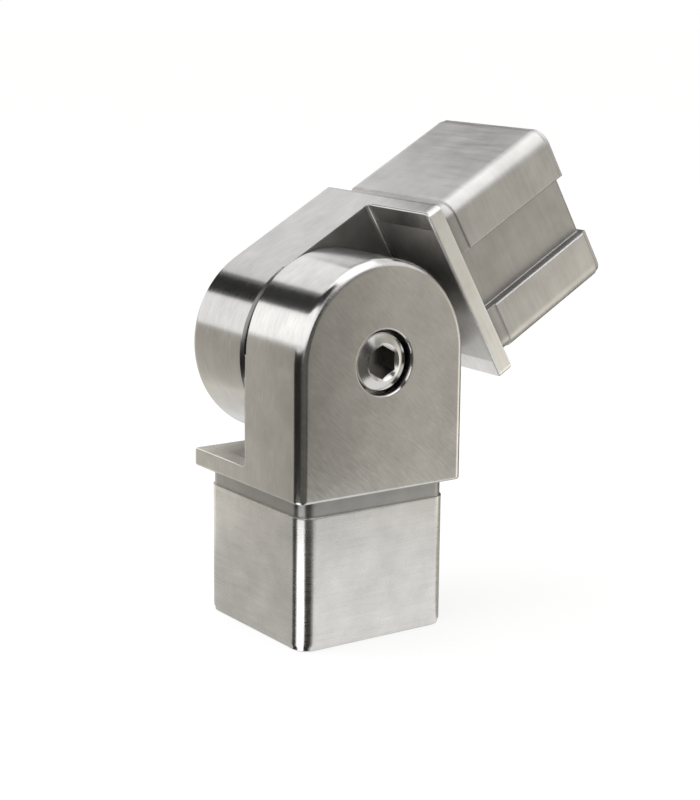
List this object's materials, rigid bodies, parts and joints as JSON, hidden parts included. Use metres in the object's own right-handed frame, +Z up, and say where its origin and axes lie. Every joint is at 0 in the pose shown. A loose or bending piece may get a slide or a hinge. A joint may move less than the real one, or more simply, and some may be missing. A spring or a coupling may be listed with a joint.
{
  "type": "hinged square tube connector",
  "caption": "Cast steel corner hinge whose spigots slide into square handrail tubes, clamped at any angle by a socket screw and a sleeve nut",
  "frame": {"origin": "centre of the open end of the lower spigot", "axes": "Z up along the lower tube, Y along the hinge axis away from the screw's head, X to the side the upper half leans to"},
  "size_m": [0.0788, 0.04, 0.1008],
  "materials": {
    "casting_steel": "fine satin brushing along each face",
    "screw_steel": "turned and lightly polished",
    "spring_steel": "plain spring steel",
    "nylon": "matt"
  },
  "bodies": {
    "lower_half": {"lower_casting": "casting_steel", "pivot_sleeve": "screw_steel", "lock_washer": "spring_steel", "friction_washer": "nylon"},
    "upper_half": {"upper_casting": "casting_steel"},
    "screw": {"pivot_screw": "screw_steel"}
  },
  "joints": [
    {"name": "corner_hinge", "type": "hinge", "parent": "lower_half", "child": "upper_half", "pos_m": [0, 0, 0.0572], "axis": [0, 1, 0], "range_deg": [-150.4, 29.6]},
    {"name": "screw_turn", "type": "hinge", "parent": "lower_half", "child": "screw", "pos_m": [0, 0, 0.0572], "axis": [0, 1, 0], "range_deg": [-360, 0]}
  ]
}
